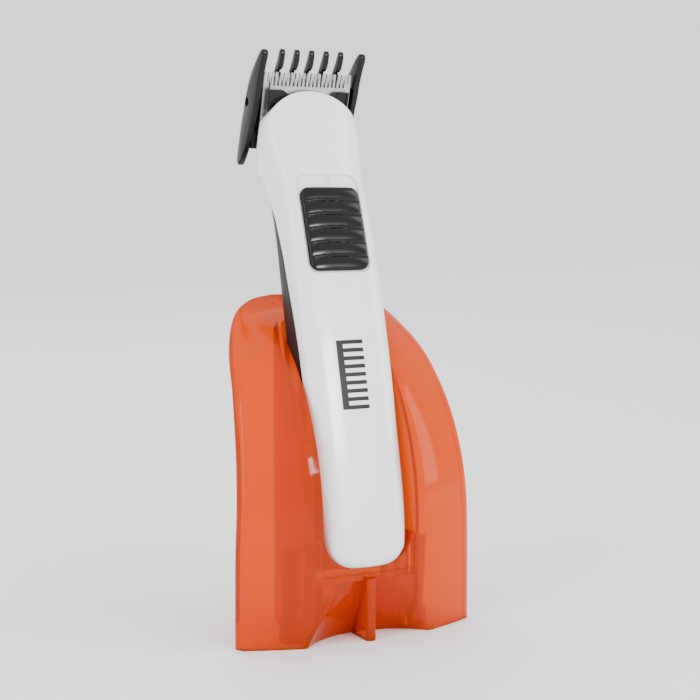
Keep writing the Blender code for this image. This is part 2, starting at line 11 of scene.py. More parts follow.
import bmesh
import bpy
from mathutils import Matrix, Vector


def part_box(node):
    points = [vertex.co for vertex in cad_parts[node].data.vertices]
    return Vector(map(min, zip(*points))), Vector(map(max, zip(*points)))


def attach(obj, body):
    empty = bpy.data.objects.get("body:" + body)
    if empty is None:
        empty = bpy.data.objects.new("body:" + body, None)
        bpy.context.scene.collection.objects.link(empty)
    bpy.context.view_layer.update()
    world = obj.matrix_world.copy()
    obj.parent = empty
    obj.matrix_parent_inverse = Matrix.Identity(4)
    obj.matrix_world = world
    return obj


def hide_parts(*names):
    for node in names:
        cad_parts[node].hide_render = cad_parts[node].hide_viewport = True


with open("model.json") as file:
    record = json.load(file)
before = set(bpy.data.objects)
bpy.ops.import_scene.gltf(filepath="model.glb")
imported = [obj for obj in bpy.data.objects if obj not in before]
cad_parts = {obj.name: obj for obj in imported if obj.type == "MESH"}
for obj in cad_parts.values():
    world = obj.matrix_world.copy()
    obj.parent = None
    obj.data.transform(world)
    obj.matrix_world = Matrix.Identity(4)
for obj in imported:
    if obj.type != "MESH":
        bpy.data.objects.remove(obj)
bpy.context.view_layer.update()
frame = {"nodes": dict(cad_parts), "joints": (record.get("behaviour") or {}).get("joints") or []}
joints = {joint["name"]: joint for joint in frame["joints"]}

# %% [markdown]
# ## Three places to build in
# The stand is upright, the clipper leans back in it, and the blade is tilted again on the
# clipper. Building each piece square in its own place and turning it once is easier than
# modelling at an angle. The joints' axes hold both angles: the clipper lifts out along its own
# length, and the comb slides along the blade. All sizes below are millimetres.

# %% Places
MM = 0.001
ROTOR_PLACE = Vector((0, 6.2, 130))
BLADE_TIPS = Vector((0, 2.0, 166.0))
FIN_FRONT = -1.7


def tilt_of(joint_name):
    """The turn about X that takes +Z to this joint's axis."""
    axis = joints[joint_name]["axis"]
    return Matrix.Rotation(math.atan2(-axis[1], axis[2]), 4, "X")


stand_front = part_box("stand_shell")[0][1]
STAND = Matrix.Translation((0, stand_front - FIN_FRONT * MM, 0)) @ Matrix.Scale(MM, 4)
lean = tilt_of("clipper_lift")
rotor_at = Vector(joints["rotor_spin"]["pos_m"])
CLIPPER = Matrix.Translation(rotor_at - lean @ (ROTOR_PLACE * MM)) @ lean @ Matrix.Scale(MM, 4)
blade_turn = lean.inverted() @ tilt_of("comb_slide")
BLADE = CLIPPER @ Matrix.Translation(BLADE_TIPS) @ blade_turn
print("lean", round(math.degrees(lean.to_euler().x), 2),
      "blade", round(math.degrees(blade_turn.to_euler().x), 2))

# %% [markdown]
# ## Camera
# A long lens a little above the clipper's middle, turned to the product's left, shows the
# face, the comb's left arm and the stand's two wings. It is set first.

# %% Camera
CAMERA_TURN, CAMERA_DROP, CAMERA_LENS = 27.26, 5.71, 75.6
CAMERA_PLACE = Vector((-220.74, -414.05, 142.22))
camera_data = bpy.data.cameras.new("camera")
camera_data.lens = CAMERA_LENS
camera_data.sensor_width = 36.0
camera = bpy.data.objects.new("camera", camera_data)
bpy.context.scene.collection.objects.link(camera)
camera.location = STAND @ CAMERA_PLACE
camera.rotation_euler = (math.radians(90 - CAMERA_DROP), 0, math.radians(-CAMERA_TURN))
bpy.context.scene.camera = camera
print("camera at", [round(value, 3) for value in camera.location])

# %% [markdown]
# ## Finishes
# Moulded plastic is never one flat value: its gloss wavers a little where the tool was
# polished, and a very low, wide unevenness bends the reflections. One function makes all the
# plastics from a colour and a roughness, with noise on the object's own coordinates.

# %% Plastic finishes
def new_finish(name, color, roughness, metallic=0.0):
    """A material with its node tree and its shader."""
    made = bpy.data.materials.new(name)
    made.use_nodes = True
    shader = made.node_tree.nodes["Principled BSDF"]
    shader.inputs["Base Color"].default_value = (*color, 1)
    shader.inputs["Roughness"].default_value = roughness
    shader.inputs["Metallic"].default_value = metallic
    return made, made.node_tree, shader


def noise(tree, scale, detail=3.0, stretch=(1, 1, 1)):
    """Noise on Object coordinates; scale counts features per metre."""
    coords = tree.nodes.new("ShaderNodeTexCoord")
    mapping = tree.nodes.new("ShaderNodeMapping")
    mapping.inputs["Scale"].default_value = stretch
    texture = tree.nodes.new("ShaderNodeTexNoise")
    texture.inputs["Scale"].default_value = scale
    texture.inputs["Detail"].default_value = detail
    tree.links.new(coords.outputs["Object"], mapping.inputs["Vector"])
    tree.links.new(mapping.outputs["Vector"], texture.inputs["Vector"])
    return texture.outputs["Fac"]


def spread(tree, value, low, high):
    """Takes a value from 0..1 to low..high."""
    node = tree.nodes.new("ShaderNodeMapRange")
    node.inputs["To Min"].default_value = low
    node.inputs["To Max"].default_value = high
    tree.links.new(value, node.inputs["Value"])
    return node.outputs["Result"]


def bump(tree, shader, value, height, strength=1.0):
    """Turns a value into relief that is height millimetres deep."""
    node = tree.nodes.new("ShaderNodeBump")
    node.inputs["Strength"].default_value = strength
    node.inputs["Distance"].default_value = height * MM
    tree.links.new(value, node.inputs["Height"])
    tree.links.new(node.outputs["Normal"], shader.inputs["Normal"])


def tint(tree, shader, value, dark, light):
    """Lets the colour waver between two near shades."""
    node = tree.nodes.new("ShaderNodeMix")
    node.data_type = "RGBA"
    node.inputs["A"].default_value = (*dark, 1)
    node.inputs["B"].default_value = (*light, 1)
    tree.links.new(value, node.inputs["Factor"])
    tree.links.new(node.outputs["Result"], shader.inputs["Base Color"])


def moulded_plastic(name, color, roughness, grain=0.02, grain_scale=900, coat=0.0, shine=0.5):
    """Plastic with wavering gloss and a grain that is grain millimetres deep."""
    made, tree, shader = new_finish(name, color, roughness)
    tree.links.new(spread(tree, noise(tree, 60), roughness * 0.85, roughness * 1.2),
                   shader.inputs["Roughness"])
    darker = tuple(value * 0.965 for value in color)
    tint(tree, shader, noise(tree, 35, 2), darker, color)
    bump(tree, shader, noise(tree, grain_scale, 4), grain, 0.35)
    shader.inputs["Specular IOR Level"].default_value = shine
    shader.inputs["Coat Weight"].default_value = coat
    shader.inputs["Coat Roughness"].default_value = 0.06
    return made


print("plastics are made by", moulded_plastic.__name__)

# %% [markdown]
# ## The plastics of this clipper
# The white front has a thin clear coat over a low, wide unevenness. The gripped rear is
# satin with a fine grain, and the comb and slider are polished black. The two inks differ
# only in shade, because print and engraving are too small to show a grain.

# %% This clipper's plastics
WHITE_GLOSS = moulded_plastic("white_gloss", (0.87, 0.875, 0.885), 0.22, 0.004, 260, coat=0.35)
BLACK_GLOSS = moulded_plastic("black_gloss", (0.004, 0.004, 0.005), 0.16, 0.004, 700, shine=0.25)
BLACK_SATIN = moulded_plastic("black_satin", (0.012, 0.012, 0.014), 0.42, 0.03, 2600, shine=0.25)
CAM_WHITE = moulded_plastic("cam_white", (0.80, 0.79, 0.74), 0.4, 0.01, 900)
PRINT_BLACK = moulded_plastic("print_black", (0.004, 0.004, 0.005), 0.3, 0.004, 1500, shine=0.2)
ENGRAVED_GREY = moulded_plastic("engraved_grey", (0.52, 0.53, 0.55), 0.35, 0.004, 1500)
print(len(bpy.data.materials), "materials so far")

# %% [markdown]
# ## Metal
# The blades are ground flat, which leaves fine lines along their length, while drawn and
# plated parts are smoother. Noise that is stretched along one axis gives the grinding lines,
# and it drives both the roughness and a very shallow relief.

# %% Metal and inner finishes
def metal(name, color, roughness, stretch=(1, 1, 1), scale=3000, relief=0.004):
    """Metal with lines drawn out along the axis of the least stretch."""
    made, tree, shader = new_finish(name, color, roughness, 1.0)
    lines = noise(tree, scale, 5, stretch)
    tree.links.new(spread(tree, lines, roughness * 0.7, roughness * 1.4), shader.inputs["Roughness"])
    tint(tree, shader, lines, tuple(value * 0.86 for value in color), color)
    bump(tree, shader, lines, relief, 0.4)
    return made


GROUND_STEEL = metal("blade_steel", (0.46, 0.46, 0.47), 0.3, (0.04, 1, 1))
SCREW_STEEL = metal("screw_steel", (0.62, 0.62, 0.63), 0.3)
MOTOR_STEEL = metal("motor_steel", (0.66, 0.66, 0.66), 0.3, (1, 1, 0.1))
COPPER = metal("copper_winding", (0.66, 0.32, 0.17), 0.35, (1, 1, 0.05), 5000, 0.05)
BRASS = metal("brass_contact", (0.80, 0.62, 0.30), 0.28)
MAGNET = moulded_plastic("dark_magnet", (0.06, 0.06, 0.065), 0.6, 0.03, 2000)
CELL_WRAP = moulded_plastic("cell_wrap", (0.05, 0.33, 0.16), 0.3, 0.01, 400)
BOARD_GREEN = moulded_plastic("green_board", (0.04, 0.25, 0.10), 0.4, 0.02, 1200)
print(len(bpy.data.materials), "materials with the metals")

# %% [markdown]
# ## Clear orange plastic
# The stand is tinted acrylic-like plastic. One wall of it is a bright orange, and two walls
# behind each other go to a deep red. A transmissive shader does this by itself, because the
# light is tinted again at every surface, and a little opaque colour keeps the moulding
# readable against a white floor.

# %% Clear orange finish
ORANGE, orange_tree, orange_shader = new_finish("orange_clear", (0.74, 0.07, 0.0), 0.05)
orange_shader.inputs["Transmission Weight"].default_value = 0.7
orange_shader.inputs["IOR"].default_value = 1.25
orange_shader.inputs["Specular IOR Level"].default_value = 0.35
orange_flow = noise(orange_tree, 22, 2)
orange_tree.links.new(spread(orange_tree, orange_flow, 0.04, 0.09), orange_shader.inputs["Roughness"])
tint(orange_tree, orange_shader, orange_flow, (0.72, 0.062, 0.0), (0.76, 0.078, 0.0))
bump(orange_tree, orange_shader, orange_flow, 0.05, 0.3)
print("stand finish:", ORANGE.name)

# %% [markdown]
# ## A curve through points
# Outlines and sections are given by a few measured points. A smooth curve through them gives
# every place between. It works on tuples of any length, so the same function serves a flat
# outline and a whole section of the body.

# %% Curve
def along(points, t):
    """A smooth curve through tuples of numbers, at position t counted in points."""
    t = min(max(t, 0.0), len(points) - 1.0)
    i = min(int(t), len(points) - 2)
    s = t - i
    a, b, c, d = (points[min(max(i + k, 0), len(points) - 1)] for k in (-1, 0, 1, 2))
    return tuple(q + 0.5 * s * (r - p + s * (2 * p - 5 * q + 4 * r - w + s * (3 * (q - r) + w - p)))
                 for p, q, r, w in zip(a, b, c, d))


print("halfway up a step from 0 to 1:", along(((0.0,), (0.0,), (1.0,), (1.0,)), 1.5)[0])

# %% [markdown]
# ## The stand's face
# The face is one curved sheet: upright below, bent back on a large radius above, and swept
# back at both wings. It starts as a flat grid. Each row takes its width from the outline, and
# each point its depth from the same rule as the frame, so the sheet stays true to the solid.

# %% Stand shape rules
FACE_RADIUS, FACE_BEND, STAND_WALL = 75.0, 38.0, 2.2
WING_START, WING_EDGE, WING_SWEEP = 20.0, 41.8, 7.5
OUTLINE = ((41.8, -1), (41.7, 18), (41.5, 33), (40.8, 49), (39.9, 61), (38.6, 73), (37.1, 82),
           (35.5, 90), (33.3, 95.6), (30.2, 100.2), (26.0, 103.4), (20.0, 105.4), (12.0, 106.2))
RIM_BACK, RIM_OUT, RIM_UP = 3.3, 1.4, 4.6
SLOT_HALF, TROUGH_STRAIGHT, TROUGH_REAR, TROUGH_POWER = 16.9, 20.0, 38.6, 5.0
SHELF_LOW, SHELF_TOP = 19.8, 22.2
NICHE_CENTRE, NICHE_RADIUS, NICHE_TAPER = -20.0, 30.4, 0.45
CUP_FLOOR, CUP_RADIUS = 24.4, 12.0
POST_X, POST_Y = 22.6, 11.5
RIM_START, UNDER_GROUND, TROUGH_TOP = 85, -1, 109


def face_depth(x, z):
    """How far back the face lies: bent on a radius above, swept back at the wings."""
    bend = 0.0
    if z > FACE_BEND:
        bend = FACE_RADIUS - math.sqrt(max(0.0, FACE_RADIUS ** 2 - (z - FACE_BEND) ** 2))
    wing = max(0.0, abs(x) - WING_START) / (WING_EDGE - WING_START)
    return bend + WING_SWEEP * wing ** 1.3


def rim_point(x, z, side, share):
    """A point on the rim, share 0 on the face's edge and 1 on the rim's back edge."""
    rise = max(0.0, (z - RIM_START) / (OUTLINE[-1][1] - RIM_START)) ** 3
    out = RIM_OUT * (1 - 0.5 * rise) * side * math.sin(share * math.pi / 2)
    back = (RIM_BACK + 2.6 * rise) * share
    return (x + out, face_depth(x, z) + back, z + RIM_UP * rise * share)


print("the face's top lies", round(face_depth(*OUTLINE[-1]), 1), "mm behind its foot")

# %% [markdown]
# ## From millimetres to the scene
# Every piece starts as a bmesh in millimetres, square to its own place, and one matrix then
# moves it inside its mesh. The object itself stays at the origin, unturned, so a pattern on
# its own coordinates can't slide. Faces are turned outward here, before a wall gets its
# thickness, because a later turn would flip the inner wall of a closed shell.

# %% Placing a piece
SMOOTH_ANGLE, DOUBLES = 40, 1e-4


def place(bm, name, matrix, finish=None, smooth=SMOOTH_ANGLE):
    """An object at the origin with its place in its mesh, faces outward."""
    bmesh.ops.remove_doubles(bm, verts=bm.verts, dist=DOUBLES)
    bmesh.ops.recalc_face_normals(bm, faces=bm.faces)
    if bm.calc_volume(signed=True) < 0:
        bmesh.ops.reverse_faces(bm, faces=bm.faces)
    bmesh.ops.transform(bm, matrix=matrix, verts=bm.verts)
    mesh = bpy.data.meshes.new(name)
    bm.to_mesh(mesh)
    bm.free()
    mesh.shade_smooth()
    mesh.set_sharp_from_angle(angle=math.radians(smooth))
    obj = bpy.data.objects.new(name, mesh)
    bpy.context.scene.collection.objects.link(obj)
    if finish:
        mesh.materials.append(finish)
    return obj


def settle(obj):
    """Makes the modifiers' result the object's own mesh."""
    graph = bpy.context.evaluated_depsgraph_get()
    mesh = bpy.data.meshes.new_from_object(obj.evaluated_get(graph))
    obj.modifiers.clear()
    obj.data = mesh
    mesh.shade_smooth()
    mesh.set_sharp_from_angle(angle=math.radians(SMOOTH_ANGLE))
    return obj


print("edges sharper than", SMOOTH_ANGLE, "degrees stay crisp")

# %% [markdown]
# ## The face sheet
# The grid's open edges are pulled out along the rim's quarter curve in four steps, all but
# the edge on the ground. Solidify then gives the sheet the even wall of a moulding, which is
# simpler than modelling the inner side as well.

# %% Stand face and rim
ROWS, COLUMNS, RIM_STEPS = 84, 72, 4


def face_sheet():
    """The face with its rim, open at the bottom, made a wall by Solidify."""
    bm = bmesh.new()
    bmesh.ops.create_grid(bm, x_segments=COLUMNS, y_segments=ROWS, size=1)
    for vert in bm.verts:
        half, z = along(OUTLINE, (vert.co.y + 1) / 2 * (len(OUTLINE) - 1))
        vert.co = (vert.co.x * half, face_depth(vert.co.x * half, z), z)
    floor = min(vert.co.z for vert in bm.verts)
    edges = [edge for edge in bm.edges if edge.is_boundary
             and not all(vert.co.z < floor + 1e-4 for vert in edge.verts)]
    home = {vert: vert.co.copy() for edge in edges for vert in edge.verts}
    widths = {round(co.z, 3): max(abs(other.x) for other in home.values() if abs(other.z - co.z) < 1e-3)
              for co in home.values()}
    for step in range(1, RIM_STEPS + 1):
        pulled = bmesh.ops.extrude_edge_only(bm, edges=edges)
        edges = [item for item in pulled["geom"] if isinstance(item, bmesh.types.BMEdge)]
        fresh = [item for item in pulled["geom"] if isinstance(item, bmesh.types.BMVert)]
        grown = {}
        for vert in fresh:
            source = min(home, key=lambda old: (old.co - vert.co).length_squared)
            co = home[source]
            vert.co = rim_point(co.x, co.z, co.x / widths[round(co.z, 3)], step / RIM_STEPS)
            grown[vert] = co
        home = grown
        edges = [edge for edge in edges if all(vert in grown for vert in edge.verts)]
    return place(bm, "stand", STAND, ORANGE)


stand = face_sheet()
if stand.data.polygons[len(stand.data.polygons) // 2].normal.y > 0:
    stand.data.flip_normals()
wall = stand.modifiers.new("wall", "SOLIDIFY")
wall.thickness = STAND_WALL * MM
wall.offset = -1.0
settle(stand)
print("face sheet:", len(stand.data.polygons), "faces")

# %% [markdown]
# ## Pulled outlines and cutters
# Most moulded walls are an outline pulled straight, and most pockets are a block or a rod
# taken away. Booleans could stay live as modifiers. Here each runs at once and its cutter is
# deleted, so nothing is left over in the scene and every mesh is final.

# %% Cutting and joining
def combine(obj, operation, *others):
    """Cuts, joins or limits obj by the others, which are then deleted."""
    for other in others:
        step = obj.modifiers.new("step", "BOOLEAN")
        step.operation = operation
        step.solver = "EXACT"
        step.object = other
        settle(obj)
        bpy.data.objects.remove(other, do_unlink=True)
    return obj


def cut(obj, *others):
    return combine(obj, "DIFFERENCE", *others)


def join(obj, *others):
    return combine(obj, "UNION", *others)


print("solids are cut and joined one at a time")

# %% [markdown]
# ## Blocks, rods and prisms
# Three plain shapes are enough for the cutters and the straight walls: a block between two
# corners, a rod or cone along an axis, and an outline pulled from one of the three planes,
# with its rims rounded where a finger or an eye would find a sharp edge.

# %% Plain shapes
def box(low, high, matrix, name="box"):
    """A block between two corners."""
    bm = bmesh.new()
    size = [b - a for a, b in zip(low, high)]
    middle = [(a + b) / 2 for a, b in zip(low, high)]
    bmesh.ops.create_cube(bm, size=1, matrix=Matrix.Translation(middle) @ Matrix.Diagonal((*size, 1)))
    return place(bm, name, matrix)


def rod(radius, start, length, matrix, axis="Z", top_radius=None, sides=64, name="rod"):
    """A cylinder or cone that runs along +axis from start."""
    bm = bmesh.new()
    turn = {"Z": Matrix(), "Y": Matrix.Rotation(-math.pi / 2, 4, "X"),
            "X": Matrix.Rotation(math.pi / 2, 4, "Y")}[axis]
    bmesh.ops.create_cone(bm, cap_ends=True, segments=sides, radius1=radius,
                          radius2=radius if top_radius is None else top_radius, depth=length,
                          matrix=Matrix.Translation(start) @ turn @ Matrix.Translation((0, 0, length / 2)))
    return place(bm, name, matrix)


PLANES = {"XY": Matrix(), "XZ": Matrix.Rotation(math.pi / 2, 4, "X"),
          "YZ": Matrix(((0, 0, 1, 0), (1, 0, 0, 0), (0, 1, 0, 0), (0, 0, 0, 1)))}


def prism(outline, low, high, plane, matrix, name="prism", rounding=0.0):
    """A flat outline pulled straight: XY pulls along z, XZ along y, YZ along x."""
    bm = bmesh.new()
    if plane == "XZ":
        low, high = -high, -low
    verts = [bm.verts.new((a, b, low)) for a, b in outline]
    face = bm.faces.new(verts)
    pulled = bmesh.ops.extrude_face_region(bm, geom=[face])
    moved = [item for item in pulled["geom"] if isinstance(item, bmesh.types.BMVert)]
    bmesh.ops.translate(bm, verts=moved, vec=(0, 0, high - low))
    if rounding:
        ends = [edge for edge in bm.edges if abs(edge.verts[0].co.z - edge.verts[1].co.z) < 1e-6]
        bmesh.ops.bevel(bm, geom=ends, offset=rounding, segments=3, profile=0.5,
                        affect="EDGES", material=-1)
    bmesh.ops.transform(bm, matrix=PLANES[plane], verts=bm.verts)
    return place(bm, name, matrix)


print("an outline can be pulled from the planes", ", ".join(PLANES))

# %% [markdown]
# ## The trough and shelf
# Behind the face stands an upright U that holds the clipper, crossed by a shelf. The U is
# pulled straight up and hollowed from above and from below, and what is left between the two
# hollows is the shelf. A block shaped like the face keeps the U behind it.

# %% Trough and shelf
def trough_outline(grow, front, steps=72):
    """The U of the trough, moved out by grow and open at front."""
    half, depth = SLOT_HALF + grow, TROUGH_REAR - TROUGH_STRAIGHT + grow
    points = [(half, front)]
    for i in range(steps + 1):
        turn = math.pi * i / steps
        x = half * math.copysign(abs(math.cos(turn)) ** (2 / TROUGH_POWER), math.cos(turn))
        points.append((x, TROUGH_STRAIGHT + depth * math.sin(turn) ** (2 / TROUGH_POWER)))
    return points + [(-half, front)]


def space_before_face():
    """A block whose back follows the face, a millimetre inside its wall."""
    bm = bmesh.new()
    bmesh.ops.create_grid(bm, x_segments=30, y_segments=90, size=1)
    for vert in bm.verts:
        x, z = vert.co.x * 32, 53 + vert.co.y * 59
        vert.co = (x, face_depth(x, z) + 1.0, z)
    pulled = bmesh.ops.extrude_face_region(bm, geom=bm.faces[:])
    for item in pulled["geom"]:
        if isinstance(item, bmesh.types.BMVert):
            item.co.y = -40
    return place(bm, "before_face", STAND)


trough = prism(trough_outline(STAND_WALL, 0.6), UNDER_GROUND, TROUGH_TOP, "XY", STAND)
cut(trough, space_before_face())
join(stand, trough)
cut(stand, prism(trough_outline(0, -30), SHELF_TOP, 130, "XY", STAND))
cut(stand, prism(trough_outline(-0.1, 0.9), -6, SHELF_LOW, "XY", STAND))
print("stand with its trough:", len(stand.data.polygons), "faces")

# %% [markdown]
# ## The niche under the shelf
# The niche is a cone about an axis well in front of the stand, so its wall curves round the
# clipper's end and leans forward with height. The wall is the grown cone, limited to the
# space behind the face, and the bare cone then clears what stands before it.

# %% Niche
def niche_cone(grow, low, high):
    """A cone about an axis in front of the face, widest at the ground."""
    return rod(NICHE_RADIUS + grow - NICHE_TAPER * low, (0, NICHE_CENTRE, low), high - low, STAND,
               top_radius=NICHE_RADIUS + grow - NICHE_TAPER * high, sides=180)


niche_wall = niche_cone(STAND_WALL * 1.1, UNDER_GROUND, SHELF_TOP - 1.3)
combine(niche_wall, "INTERSECT", box((-24.5, 0.7, -3), (24.5, 20, 25), STAND))
join(stand, niche_wall)
cut(stand, niche_cone(0, -5, SHELF_TOP - 0.9))
print("stand with trough and niche:", len(stand.data.polygons), "faces")

# %% [markdown]
# ## The clipper's body rule
# The body's section changes all the way along: round at the bottom, nearly a rounded box in
# the grip, and wide with a flat slanted back at the head. A few sections with a smooth curve
# through them hold that shape: height, half width, front, widest line, back, and how square
# the front and the back are. The same rule then gives every place on the surface, so the
# switch, the print and the recess follow it exactly.

# %% Body rule
SECTIONS = ((-1.93, 2.0, -3.0, -1.2, -0.2, 2.0, 2.0), (-1.9, 5.0, -4.2, -1.0, 1.2, 2.2, 2.2),
            (-1.5, 8.4, -5.4, -0.5, 2.6, 2.4, 2.2), (-0.3, 11.2, -6.3, 0.0, 3.9, 2.6, 2.4),
            (1.9, 13.2, -6.9, 0.5, 5.2, 3.0, 2.6), (5.5, 14.5, -7.2, 1.0, 7.0, 3.6, 2.8),
            (20, 15.6, -7.2, 1.0, 9.4, 4.2, 3.4), (40, 15.95, -7.2, 1.0, 11.5, 4.2, 4.0),
            (64, 16.3, -7.1, 1.0, 12.2, 4.2, 4.4), (91, 16.1, -6.5, 1.2, 12.8, 4.2, 4.4),
            (110, 15.7, -5.2, 1.6, 13.6, 3.8, 4.6), (123, 15.5, -4.0, 2.5, 15.4, 3.2, 5.0),
            (129, 15.6, -3.1, 3.4, 16.6, 2.9, 7.0), (133, 16.1, -2.4, 4.2, 17.9, 2.7, 9.0),
            (137, 16.7, -1.9, 4.7, 19.6, 2.6, 9.0), (140.5, 16.9, -1.3, 4.9, 18.3, 2.6, 9.0),
            (147, 16.9, -0.1, 5.0, 14.5, 2.6, 8.0), (153, 16.5, 1.0, 5.0, 11.0, 2.6, 7.0),
            (160.2, 15.9, 2.7, 5.2, 7.0, 2.6, 5.0))
WALL, SIDE_WALL, GAP = 1.5, 3.0, 0.3


def section_at(z):
    """The section at a height, found by halving along the curve."""
    low, high = 0.0, len(SECTIONS) - 1.0
    for _ in range(30):
        middle = (low + high) / 2
        low, high = (middle, high) if along(SECTIONS, middle)[0] < z else (low, middle)
    return along(SECTIONS, low)


def front_of(x, z):
    """How far forward the body's surface lies."""
    _, half, front, widest, _, power, _ = section_at(z)
    reach = min(1.0, abs(x) / half)
    return widest - (widest - front) * (1 - reach ** power) ** (1 / power)


print("grip is", round(2 * section_at(60)[1], 1), "mm wide and its front lies at", round(front_of(0, 60), 1))

# %% [markdown]
# ## The body's skin
# A ring is pulled up edge by edge from the bottom, and each new ring is set on its own
# section. Lofting between two drawn curves would be quicker, but this way one call gives the
# outside, the hollow inside it and the grown copy that cuts the seat, all true to each other.

# %% Body skin
LEAST_DEPTH = 0.3


def shape_ring(ring, row, out, side):
    """Sets one ring's points on the section."""
    z, half, front, widest, back, front_power, back_power = row
    for k, vert in enumerate(ring):
        turn = 2 * math.pi * k / len(ring)
        behind = turn < math.pi
        power = back_power if behind else front_power
        depth = max(LEAST_DEPTH, (back - widest if behind else widest - front) + out)
        x = math.copysign(abs(math.cos(turn)) ** (2 / power), math.cos(turn))
        y = math.copysign(abs(math.sin(turn)) ** (2 / power), math.sin(turn))
        vert.co = ((half + side) * x, widest + depth * y, z)


def body_skin(name, out, side=None, start=0.0, steps=5, points=112, top=0.0, finish=None):
    """The whole body as a closed skin, moved out by out, and at the sides by side."""
    side = out if side is None else side
    bm = bmesh.new()
    ring = bmesh.ops.create_circle(bm, cap_ends=True, segments=points, radius=1)["verts"]
    edges = list(bm.edges)
    count = int((len(SECTIONS) - 1 - start) * steps)
    rows = [along(SECTIONS, start + i / steps) for i in range(count + 1)]
    if top:
        rows.append((rows[-1][0] + top,) + rows[-1][1:])
    for number, row in enumerate(rows):
        if number:
            pulled = bmesh.ops.extrude_edge_only(bm, edges=edges)["geom"]
            edges = [item for item in pulled if isinstance(item, bmesh.types.BMEdge)]
            loop = {}
            for vert in (vert for edge in edges for vert in edge.verts):
                below = min(range(points), key=lambda k: (ring[k].co - vert.co).length_squared)
                loop.setdefault(below, vert)
            ring = [loop[k] for k in range(points)]
        shape_ring(ring, row, out, side)
    bmesh.ops.edgeloop_fill(bm, edges=edges)
    return place(bm, name, CLIPPER, finish)


print("a skin rises through", len(SECTIONS), "sections")

# %% [markdown]
# ## Round corners and finished pieces
# Fins, windows and the switch field all have round corners, so one outline with four arcs
# serves them all. A finished piece is given the body it moves with, and the plain solids of
# the frame it takes the place of are hidden.

# %% Rounded outline and finishing
def arc(radius, centre, start, stop, steps):
    """Points round a circle, from one angle to another in degrees."""
    angles = [math.radians(start + (stop - start) * i / steps) for i in range(steps + 1)]
    return [(centre[0] + radius * math.cos(a), centre[1] + radius * math.sin(a)) for a in angles]


def rounded_rectangle(left, right, low, high, radius, steps=8):
    """An outline with four round corners."""
    corners = ((right - radius, high - radius, 0), (left + radius, high - radius, 90),
               (left + radius, low + radius, 180), (right - radius, low + radius, 270))
    return [point for x, z, turn in corners for point in arc(radius, (x, z), turn, turn + 90, steps)]


def finish_piece(obj, body, slot, *nodes):
    """Gives a piece its body and hides the frame solids it stands for; the slot is not used."""
    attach(obj, body)
    if nodes:
        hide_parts(*nodes)
    print(obj.name, len(obj.data.polygons), "faces, rides on", body)


print("a rounded rectangle has", len(rounded_rectangle(-1, 1, -1, 1, 0.3)), "points")

# %% [markdown]
# ## Seat, fin and posts
# The seat takes the shape of the clipper's end, so the body itself, grown by a third of a
# millimetre, is the cutter. The fin under the shelf and the two tapered posts beside the
# trough stiffen the moulding, and everything ends flat on the ground.

# %% Stand details
FIN_HALF, FIN_BACK, POST_TOP, COLLAR_TOP, CUP_TOP = 1.75, 11.5, 30, 5.5, 34.0
SEAT_GAP = 0.35
fin = rounded_rectangle(-FIN_HALF, FIN_HALF, FIN_FRONT, FIN_BACK, 1.4)
join(stand, prism(fin, UNDER_GROUND, SHELF_LOW + 0.9, "XY", STAND))
for side in (-1, 1):
    post_at = (side * POST_X, POST_Y, UNDER_GROUND)
    join(stand, rod(3.0, post_at, POST_TOP - UNDER_GROUND, STAND, top_radius=4.3, sides=48),
         rod(4.6, post_at, COLLAR_TOP - UNDER_GROUND, STAND, top_radius=4.2, sides=48))
cup = box((-SLOT_HALF - 0.5, 0.4, SHELF_LOW + 0.3), (SLOT_HALF + 0.5, 13, CUP_TOP), STAND)
cup_hollow = rounded_rectangle(-SLOT_HALF + 0.2, SLOT_HALF - 0.2, CUP_FLOOR, 70, CUP_RADIUS, 16)
join(stand, cut(cup, prism(cup_hollow, -5, 30, "XZ", STAND)))
cut(stand, body_skin("clipper_space", SEAT_GAP, steps=3, points=80))
cut(stand, box((-60, -40, -12), (60, 80, 0), STAND))
finish_piece(stand, "stand", "orange_clear", "stand_shell")

# %% [markdown]
# ## The joint line
# The white front and the black rear meet on a line that runs straight up the side and sweeps
# back under the head. The line is a side view of a few points. Everything behind it is one
# prism, which keeps the rear half and, moved by the gap, trims the front half.

# %% Joint line
PARTING = ((-1.5, -8), (-1.5, 30), (-1.5, 64), (-0.4, 77), (1.0, 86), (2.3, 93), (4.0, 102), (6.2, 110),
           (8.6, 117), (12.4, 122.5), (17.0, 126))
DOME_RADIUS, DOME_CENTRE = 19.4, 140.6
SWITCH_LOW, SWITCH_HIGH, SWITCH_HALF, SWITCH_TRAVEL = 95.9, 124.9, 10.8, 4.0


def rear_region(shift):
    """The space behind the joint line, as an outline in y and z."""
    curve = [along(PARTING, i / 8) for i in range((len(PARTING) - 1) * 8 + 1)]
    outline = [(y + shift, z - shift) for y, z in curve + [(24, 128), (24, -8)]]
    return prism(outline, -25, 25, "YZ", CLIPPER)


def hollow(name):
    """The space inside the housing's walls, open past the top."""
    return body_skin(name, -WALL, -SIDE_WALL, start=4.0, steps=4, points=80, top=6.0)


print("the joint line ends", PARTING[-1][1], "mm up the back")

# %% [markdown]
# ## Front housing
# The white front is a thin shell. It could be modelled as a surface with thickness, but its
# edges matter: the dome at the top, the joint line down the side, and the pockets that the
# head sits in. So the full body is hollowed by a smaller one and then trimmed at each edge.

